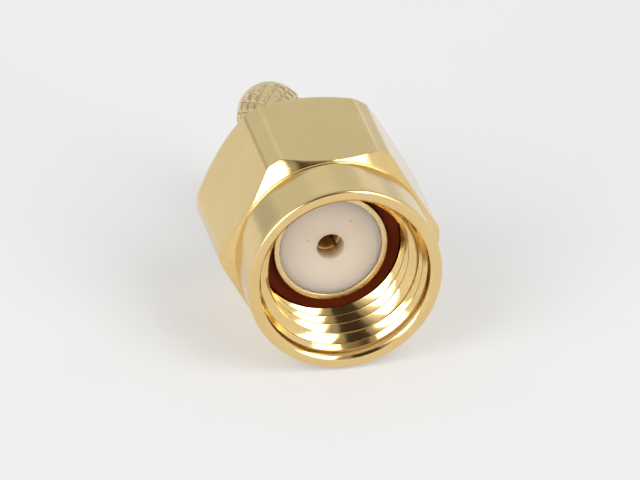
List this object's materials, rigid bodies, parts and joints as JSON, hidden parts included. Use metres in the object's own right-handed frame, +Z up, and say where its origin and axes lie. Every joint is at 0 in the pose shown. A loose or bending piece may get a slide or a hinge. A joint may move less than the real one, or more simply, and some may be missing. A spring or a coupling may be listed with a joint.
{
  "type": "sma connector",
  "caption": "Straight reverse-polarity SMA crimp plug with hexagonal coupling nut, recessed socket contact, gasket and knurled crimp post, gold plated.",
  "frame": {"origin": "on the connector's axis, in the mating plane at the front face of the outer contact", "axes": "mating direction -Y, tail towards +Y, +Z up from the flat the nut lies on, +X to the right seen from the mating side"},
  "size_m": [0.0088, 0.0154, 0.008],
  "materials": {
    "gold_nut": "polished gold plating",
    "gold_body": "gold plating",
    "ptfe": "white PTFE, waxy",
    "gold_contact": "gold plating",
    "silicone": "dark red-brown silicone",
    "ring_metal": "beryllium copper, plated"
  },
  "bodies": {
    "plug_body": {"body": "gold_body", "insulator": "ptfe", "centre_contact": "gold_contact", "gasket": "silicone", "snap_ring": "ring_metal"},
    "coupling_nut": {"coupling_nut": "gold_nut"}
  },
  "joints": [
    {"name": "nut_spin", "type": "hinge", "parent": "plug_body", "child": "coupling_nut", "pos_m": [0, 0, 0], "axis": [0, 1, 0], "continuous": true}
  ]
}
